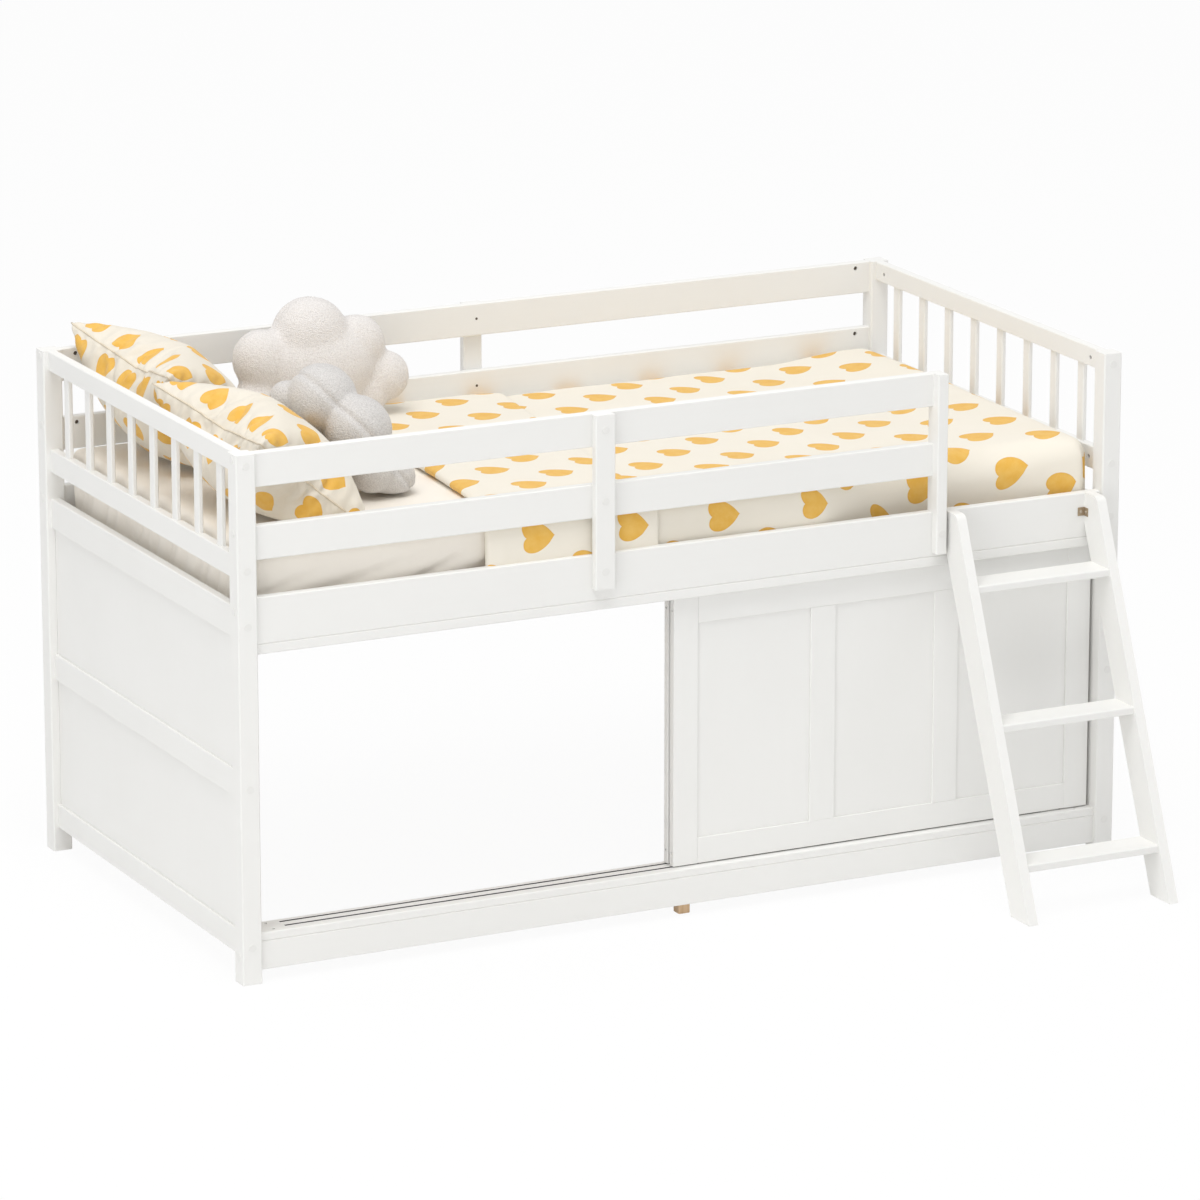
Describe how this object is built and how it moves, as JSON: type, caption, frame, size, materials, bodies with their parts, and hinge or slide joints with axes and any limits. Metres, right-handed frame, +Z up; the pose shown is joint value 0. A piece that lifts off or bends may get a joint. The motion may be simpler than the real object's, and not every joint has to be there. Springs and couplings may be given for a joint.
{
  "type": "loft bed with sliding doors",
  "caption": "Low loft bed with panelled ends, slatted guard rails, sliding panel doors on grooved tracks, a raked ladder, mattress, quilt, pillows and cloud cushions.",
  "frame": {"origin": "on the floor, under the middle of the whole part's bounding box", "axes": "+X along the bed from the head to the foot, +Y from the ladder side to the back, +Z up"},
  "size_m": [2.0124, 1.4232, 1.1425],
  "materials": {
    "painted_wood": "satin off-white paint",
    "painted_panel": "satin off-white paint on thin board",
    "pine": "bare planed pine",
    "track": "dark extruded channel",
    "glide": "moulded nylon",
    "bronze": "bronze-coloured steel",
    "zinc": "zinc plated",
    "cap": "off-white moulded caps",
    "sheet_cloth": "beige fitted cotton sheet over a foam mattress",
    "quilt_cloth": "cream cotton printed with golden hearts",
    "pillow_cloth": "cream cotton printed with golden hearts, stuffed",
    "cloud_fleece": "light grey fleece, stuffed"
  },
  "bodies": {
    "frame": {"post_front_left": "painted_wood", "post_front_right": "painted_wood", "post_back_left": "painted_wood", "post_back_right": "painted_wood", "head_top_rail": "painted_wood", "head_guard_rail": "painted_wood", "head_slats": "painted_wood", "head_upper_panel_rail": "painted_wood", "head_middle_panel_rail": "painted_wood", "head_bottom_rail": "painted_wood", "head_upper_panel": "painted_panel", "head_lower_panel": "painted_panel", "foot_top_rail": "painted_wood", "foot_guard_rail": "painted_wood", "foot_slats": "painted_wood", "foot_upper_panel_rail": "painted_wood", "foot_middle_panel_rail": "painted_wood", "foot_bottom_rail": "painted_wood", "foot_upper_panel": "painted_panel", "foot_lower_panel": "painted_panel", "back_upper_guard_rail": "painted_wood", "back_lower_guard_rail": "painted_wood", "back_side_rail": "painted_wood", "back_guard_post": "painted_wood", "front_upper_guard_rail": "painted_wood", "front_lower_guard_rail": "painted_wood", "front_side_rail": "painted_wood", "bottom_front_rail": "painted_wood", "front_guard_post": "painted_wood", "entry_guard_post": "painted_wood", "bottom_track_board": "painted_wood", "top_track_board": "painted_wood", "ladder_left_stile": "painted_wood", "ladder_right_stile": "painted_wood", "ladder_rungs": "painted_wood", "track_channels": "track", "centre_support_leg": "pine", "ladder_brackets": "bronze", "slat_ledgers": "pine", "bed_slats": "pine", "connecting_bolts": "zinc", "barrel_nuts": "zinc", "bolt_caps": "cap", "mattress": "sheet_cloth", "quilt": "quilt_cloth", "pillow_front": "pillow_cloth", "pillow_back": "pillow_cloth", "large_cloud": "cloud_fleece", "small_cloud": "cloud_fleece"},
    "front_door": {"front_door_stiles": "painted_wood", "front_door_rails": "painted_wood", "front_door_mullions": "painted_wood", "front_door_panels": "painted_panel", "front_door_glides": "glide"},
    "rear_door": {"rear_door_stiles": "painted_wood", "rear_door_rails": "painted_wood", "rear_door_mullions": "painted_wood", "rear_door_panels": "painted_panel", "rear_door_glides": "glide"}
  },
  "joints": [
    {"name": "front_door_slide", "type": "slide", "parent": "frame", "child": "front_door", "axis": [1, 0, 0], "range_m": [-0.928, 0]},
    {"name": "rear_door_slide", "type": "slide", "parent": "frame", "child": "rear_door", "axis": [1, 0, 0], "range_m": [-0.928, 0]}
  ]
}
